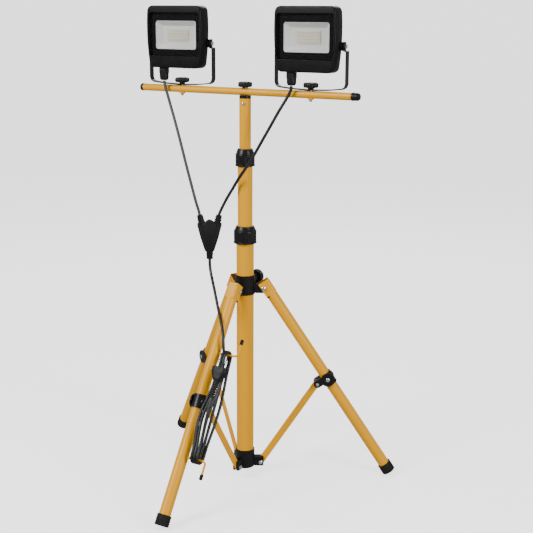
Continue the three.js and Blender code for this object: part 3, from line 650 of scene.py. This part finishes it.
def chips(board_y):
    """Rows of small LED packages on the board."""
    parts = []
    for row in range(4):
        for column in range(10):
            x, z = (column - 4.5) * 5.2, (WINDOW["low"] + WINDOW["high"]) / 2 + (row - 1.5) * 6
            package = slab((x - 1.7, x + 1.7), (board_y - 0.9, board_y - 0.05), (z - 1.4, z + 1.4), 0.25, 1)
            parts.append(package)
    return joined(*parts)


def ring_plate(outer, inner, y0, y1):
    """A flat plate with a hole, between two outlines of equal count."""
    return loft([(y0, outer), (y1, outer), (y1, inner), (y0, inner)])


def lamp_window(side, place):
    """The glass, the printed black behind its edge, the reflector's lip and the LED packages."""
    body = f"lamp_{side}"
    front, back = PANE["front"], PANE["back"]
    pane = rounded_outline(PANE["half"], PANE["low"], PANE["high"], PANE_CORNER - GAP)
    glass = loft([(front, inset(pane, 0.5)), (front + 0.5, pane), (back, pane)], close=False)
    put(f"lamp_pane_{side}", glass, place, clear, body, f"lamp_glass_{side}", 25)
    margin = 0.4
    border = rounded_outline(PANE["half"] - margin, PANE["low"] + margin, PANE["high"] - margin, 5.4)
    edge, hole = matched(border, rounded_outline(WINDOW["half"], WINDOW["low"], WINDOW["high"], 5))
    put(f"lamp_mask_{side}", ring_plate(edge, hole, back + 0.2, back + 0.5), place, mask_black, body,
        smooth=None)
    lip = ring_plate(inset(hole, -0.3), inset(hole, 1.3), back + 0.52, back + 1.6)
    put(f"lamp_lip_{side}", lip, place, reflector_white, body, smooth=None)
    put(f"lamp_chips_{side}", chips(BOARD_Y), place, chip_yellow, body, smooth=None)


def lamp_gland(side, place):
    """A fluted nut over a domed cap, below the housing."""
    nut = lathe(
        [(0, 876), (10.2, 876), (10.9, 877), (10.9, 887.2), (10.2, 888.2), (0, 888.2)], 96,
        flutes(12, 1.1, 876.5, 887.6))
    dome = lathe([
        (0, 861), (5.4, 861), (7.6, 861.6), (8.9, 863), (9.6, 865.6), (9.9, 869), (10, 876.5), (0, 876.5),
    ], 48)
    put(f"lamp_gland_{side}", joined(nut, dome), place @ move(GLAND["x"], GLAND["y"]), abs_black,
        f"lamp_{side}", f"lamp_gland_{side}", 30)


def lamp_fasteners(side, place):
    """Washers at the tilt pivots, screws in the back cover, and the tip and nut of the knob's screw."""
    body = f"lamp_{side}"
    for end, sign in (("a", -1), ("b", 1)):
        washer = lathe([(3.2, 75.25), (6.4, 75.25), (6.7, 75.5), (6.7, 75.9), (6.3, 76.3), (3.2, 76.3)], 40)
        pivot = place @ move(z=TILT_Z) @ turn(90 * sign, "Y")
        put(f"tilt_washer_{side}_{end}", washer, pivot, nylon, body, smooth=30)
    for across, sx in (("l", -1), ("r", 1)):
        for row, z in (("b", BOTTOM + 6.5), ("t", TOP - 6.5)):
            cover_screw = place @ move(sx * 52, 0, z) @ turn(-90, "X")
            put(f"cover_screw_{side}_{across}{row}", pan_head(3, 1.8), cover_screw, zinc, body)
    tip = lathe([(0, 828.5), (2.6, 828.5), (3, 829.2), (3, 835.6), (0, 835.6)], 24)
    put(f"lamp_screw_tip_{side}", tip, place, zinc, f"lamp_knob_{side}")
    nut = lathe([(0, 832.4), (4, 832.4), (6.2, 833.6), (6.8, 835.2), (6.8, 836.5), (0, 836.5)], 32)
    put(f"lamp_nut_{side}", nut, place, yellow, "crossbar")


for side, x in LAMP_X.items():
    put(f"lamp_shell_{side}", housing_bmesh(), move(x), lamp_black, f"lamp_{side}", f"lamp_housing_{side}",
        32)
    lamp_window(side, move(x))
    lamp_gland(side, move(x))
    lamp_fasteners(side, move(x))


# ---- legs ---------------------------------------------------------------------------------------------
foot_sink = (LEG_OFFSET - FOOT_R) * math.sin(LEG_TILT)
FOOT_T = (LEG_PIVOT["z"] + FLOOR_DEPTH + foot_sink) / math.cos(LEG_TILT)
foot_profile = [
    (0, 0), (13.4, 0), (14.8, 0.7), (FOOT_R, 2), (FOOT_R, 4.4), (14.5, 5), (14.5, 5.8), (FOOT_R, 6.4),
    (FOOT_R, 8.4), (14.5, 9), (14.5, 9.8), (15.1, 10.4), (15, 20.4), (15.3, 20.8), (15.3, 22.4), (14.7, 23),
    (12.8, 23), (12.8, 5), (0, 5),
]
bracket_run = Vector((BRACE_TOP["r"] - LEG_PIVOT["r"], BRACE_TOP["z"] - LEG_PIVOT["z"], 0))
lug = Matrix.Rotation(-LEG_TILT, 3, "Z") @ bracket_run
lug_x = lug.x - LEG_OFFSET
for name, azimuth in LEGS.items():
    body = f"leg_{name}"
    on_tube = tube_frame(azimuth)
    put(f"foot_cap_{name}", lathe(foot_profile, 56), on_tube @ move(z=-FOOT_T), rubber, body,
        f"foot_cap_{name}", 30)
    for label, x, z, r in (("saddle", 0, -BRACKET_BOLT_T, 4.8), ("brace", lug_x, lug.y, 4)):
        nut = lathe([(0, -0.3), (r + 0.4, -0.3), (r + 0.4, 2.8), (r - 0.4, 3.2), (0, 3.2)], 6)
        near = on_tube @ move(x, -BRACKET_HALF, z) @ turn(90, "X")
        far = on_tube @ move(x, BRACKET_HALF, z) @ turn(-90, "X")
        put(f"{label}_bolt_{name}", pan_head(r, 2.6), near, zinc, body)
        put(f"{label}_nut_{name}", nut, far, zinc, body, smooth=None)
    end_plug = slab((-5.2, 1.5), (-11.9, 11.9), (-23.4, -21.1), 0.3, 1)
    put(f"leg_end_plug_{name}", end_plug, leg_frame(azimuth), nylon, body, smooth=None)
    pin = lathe([(0, -15.5), (2.8, -15.5), (2.8, 15.5), (0, 15.5)], 20)
    pin_place = on_tube @ move(lug_x, 0, lug.y) @ turn(90, "X")
    put(f"brace_pin_{name}", pin, pin_place, zinc, body)

HOOK = {"upper": 143.5, "lower": 371, "reach": 57, "rise": 36}
front = tube_frame(LEGS["front"])
for name, direction, flip in (("upper", 1, Matrix()), ("lower", -1, turn(180, "X"))):
    tip = lathe([(0, -9.5), (3.5, -9.5), (3.7, -8.6), (3.7, 0.4), (3.2, 1.4), (1.8, 2.1), (0, 2.3)], 24)
    tip_place = front @ move(0, HOOK["reach"], direction * HOOK["rise"] - HOOK[name]) @ flip
    put(f"hook_tip_{name}", tip, tip_place, rubber, "leg_front")


# ---- splitter -----------------------------------------------------------------------------------------
def sleeve(r0, r1, low, high, rings):
    """A tapered strain relief with ring grooves."""
    profile = [(0, low), (r0 - 0.6, low), (r0, low + 0.6)]
    step = (high - low - 4) / rings
    for i in range(rings):
        z = low + 2 + step * i
        r = r0 + (r1 - r0) * (i + 0.5) / rings
        profile += [(r, z + step * 0.1), (r, z + step * 0.55)]
        profile += [(r - 1.3, z + step * 0.65), (r - 1.3, z + step * 0.95)]
    return lathe(profile + [(r1, high - 1.4), (r1, high - 0.5), (r1 - 0.5, high), (0, high)], 40)


def splitter_outline(low, shoulder):
    """The body's closed (x, z) outline: narrow at its tail, with a low dome between the inlets."""
    right = [
        (0, low), (8.5, low), (10.4, low + 1.5), (19.5, low + 30), (26.4, shoulder - 6),
        (26.7, shoulder - 2.6), (25.6, shoulder - 0.6), (24, shoulder), (11, shoulder),
    ]
    crown = (0, shoulder + 7)
    right += bezier((11, shoulder), (5, shoulder + 6.6), crown, 8)
    return right + [(-x, z) for x, z in reversed(right[1:-1])]


def splitter():
    """A flat rounded body with a raised panel, two ribbed inlets and a ribbed tail."""
    bottom, shoulder = SPLITTER["bottom"], SPLITTER["shoulder"]
    low = bottom + SPLITTER["tail"]
    loop = splitter_outline(low, shoulder)
    edge = [(-6.5, 2.6), (-6.2, 1.6), (-5.2, 0.5), (-3.8, 0)]
    edge += [(-y, inward) for y, inward in reversed(edge)]
    shell = loft([(y, inset(loop, inward)) for y, inward in edge], close=False)
    panel = [(x * 0.62, low + 14 + (z - low) * 0.62) for x, z in loop]
    raised = loft([(-6.3, panel), (-6.9, panel), (-7.1, inset(panel, 0.5))], close=False)
    parts = [shell, raised, sleeve(7.2, 8.4, bottom, low + 4, 4)]
    for side in (-1, 1):
        inlet = sleeve(8.2, 7.2, -8, INLET["length"], 4)
        place = move(side * INLET["x"], 0, shoulder) @ Matrix.Rotation(side * INLET["splay"], 4, "Y")
        bmesh.ops.transform(inlet, matrix=place, verts=inlet.verts)
        parts.append(inlet)
    return joined(*parts)


splitter_place = move(SPLITTER["x"], SPLITTER["y"]) @ Matrix.Rotation(SPLITTER["turn"], 4, "Z")
put("splitter", splitter(), splitter_place, moulded, "crossbar", "splitter", 32)


# ---- the cord wound on the hooks, and its plug --------------------------------------------------------
PLUG = {"out": 26.6, "across": 42, "tip": 161, "face": 178, "end": 244}  # down the leg from its pivot
PIN_HALF_PITCH = 9.5


def plug_shell():
    """A flat two-pin plug: square shoulders at its face, waisted grip sides and a narrow neck. A station is
    the distance behind the face and the half widths along X and Y."""
    stations = [
        (29.6, 6.4, 7.4), (28, 7.2, 8.4), (24, 8, 10.6), (19.5, 8.4, 12.8), (15, 8.8, 15), (12, 9.3, 16.6),
        (9, 9.6, 17.2), (6, 9.3, 16.8), (3, 9.5, 17.4), (0.8, 9.4, 17.2), (0, 8.6, 16.4),
    ]
    section = rounded_outline(1, -1, 1, 0.55, 8)
    bm = bmesh.new()
    return skin(bm, [
        [bm.verts.new((x * w * MM, y * h * MM, (-PLUG["face"] - back) * MM)) for x, y in section]
        for back, w, h in stations
    ])


def plug_pin(side):
    """A round pin with a rounded tip, on one side of the middle."""
    tip, root = -PLUG["tip"], -PLUG["face"] - 1
    pin = lathe([(0, root), (2.2, root), (2.2, tip - 2), (1.8, tip - 0.6), (1, tip), (0, tip)], 24)
    bmesh.ops.translate(pin, vec=(0, side * PIN_HALF_PITCH * MM, 0), verts=pin.verts)
    return pin


plug_place = front @ move(PLUG["out"], PLUG["across"])
plug_body = put("plug", plug_shell(), plug_place, moulded, "leg_front", "plug", 35)
plug_relief = put("plug_relief", sleeve(4.4, 6.4, -PLUG["end"], -PLUG["face"] - 26, 7), plug_place, moulded,
                  "leg_front", smooth=30)
plug_pins = put("plug_pins", joined(plug_pin(-1), plug_pin(1)), plug_place, zinc, "leg_front")

TURN_R = 13
TURN_TOP, TURN_BOTTOM = 150.4, 364.2
LAYERS = (28, 34.6, 41.2)


def arc(centre_t, layer, start):
    """Half a turn round a hook, in the leg's (out, across, down) places."""
    angles = [math.radians(start + 180 * i / 8) for i in range(9)]
    return [(TURN_R * math.cos(a), layer, centre_t - TURN_R * math.sin(a)) for a in angles]


def strand(a, b, out, across, top=TURN_TOP):
    """The run between two hooks. It bows by out and across between top and the lower hook."""
    made = []
    for i in range(1, 9):
        x, y, t = (p + (q - p) * i / 9 for p, q in zip(a, b))
        u = (t - top) / (TURN_BOTTOM - top)
        bow = math.sin(math.pi * u) ** 2 if 0 < u < 1 else 0
        made.append((x + out * bow, y + across * bow, t))
    return made


def hank_route():
    """Down from the end of the hanging cord, round both hooks layer by layer, and to the plug."""
    to_leg = front.inverted()
    before, _, first = (to_leg @ Vector(p) / MM for p in main_path[-3:])
    onward = first + (first - before).normalized() * 12
    route = [(p.x, p.y, -p.z) for p in (first, onward)]
    inner, outer = -TURN_R, TURN_R
    route += [(-6.5, LAYERS[0], 176), (-12, LAYERS[0], 200)]
    route += strand((inner, LAYERS[0], 214), (inner, LAYERS[0], TURN_BOTTOM), 5, -3, 200)
    for i, layer in enumerate(LAYERS):
        route += arc(TURN_BOTTOM, layer, 180)
        if i < len(LAYERS) - 1:
            top = arc(TURN_TOP, layer, 0)
            route += strand(route[-1], top[0], 6 - 2 * i, -6, 208)
            route += top
            route += strand(top[-1], (inner, LAYERS[i + 1], TURN_BOTTOM), -4 * i, 4 * i)
    route += [(outer + 0.6, 41.3, 345), (17, 41.5, 318), (22.6, 41.8, 288), (26, 42, 262)]
    route += [(PLUG["out"], PLUG["across"], t) for t in (250, 241)]
    return route


hank_path = smooth_route([tuple(front @ (Vector((x, y, -t)) * MM)) for x, y, t in hank_route()], 2.6 * MM)
hank = piece("cord_hank", tube(hank_path, frames_along(hank_path), CORD_R, 14), jacket, "leg_front", 60)
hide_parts("cord_hank")


# ---- floor and light ----------------------------------------------------------------------------------
def stage():
    """A pale floor that glows a little and curves up all round, and three soft panels."""
    reach, rise, bend = 9.0, 7.0, 3.0
    section = [(0.0, 0.0), (reach - bend, 0.0)]
    angles = [math.radians(90 * i / 12) for i in range(1, 13)]
    section += [(reach - bend + bend * math.sin(a), bend - bend * math.cos(a)) for a in angles]
    section.append((reach, rise))
    bm = bmesh.new()
    sides = 64
    rings = []
    for r, z in section:
        around = range(sides) if r else range(1)
        turns = [2 * math.pi * k / sides for k in around]
        rings.append([bm.verts.new((r * math.cos(a), r * math.sin(a), z - FLOOR_DEPTH * MM)) for a in turns])
    for low, high in zip(rings, rings[1:]):
        for k in range(sides):
            loop = [low[k % len(low)], low[(k + 1) % len(low)], high[(k + 1) % sides], high[k]]
            bm.faces.new(list(dict.fromkeys(loop)))
    glowing = surface("floor_white", (0.9, 0.9, 0.9), 0.8, (2, 0.003), Emission_Color=(1, 1, 1, 1),
                      Emission_Strength=1.7)
    floor = piece("floor", bm, glowing, smooth=60)
    floor.visible_diffuse = False
    floor.visible_glossy = False
    floor.visible_shadow = False
    world = bpy.data.worlds.new("world")
    bpy.context.scene.world = world
    world.use_nodes = True
    world.node_tree.nodes["Background"].inputs["Color"].default_value = (0.98, 0.99, 1.0, 1)
    world.node_tree.nodes["Background"].inputs["Strength"].default_value = 0.38

    def area(name, place, target, size, power):
        data = bpy.data.lights.new(name, "AREA")
        data.shape = "RECTANGLE"
        data.size, data.size_y = size
        data.energy = power
        light = bpy.data.objects.new(name, data)
        light.location = place
        light.rotation_euler = (Vector(target) - Vector(place)).to_track_quat("-Z", "Y").to_euler()
        bpy.context.scene.collection.objects.link(light)

    area("key", (-1.2, -2.4, 2.3), (0, 0, 0.6), (0.9, 1.6), 84)
    area("fill", (2.7, -0.7, 1.5), (0, 0, 0.5), (0.7, 1.9), 50)
    area("back", (-0.8, 2.4, 2.4), (0, 0, 0.6), (1.6, 1.2), 26)


stage()
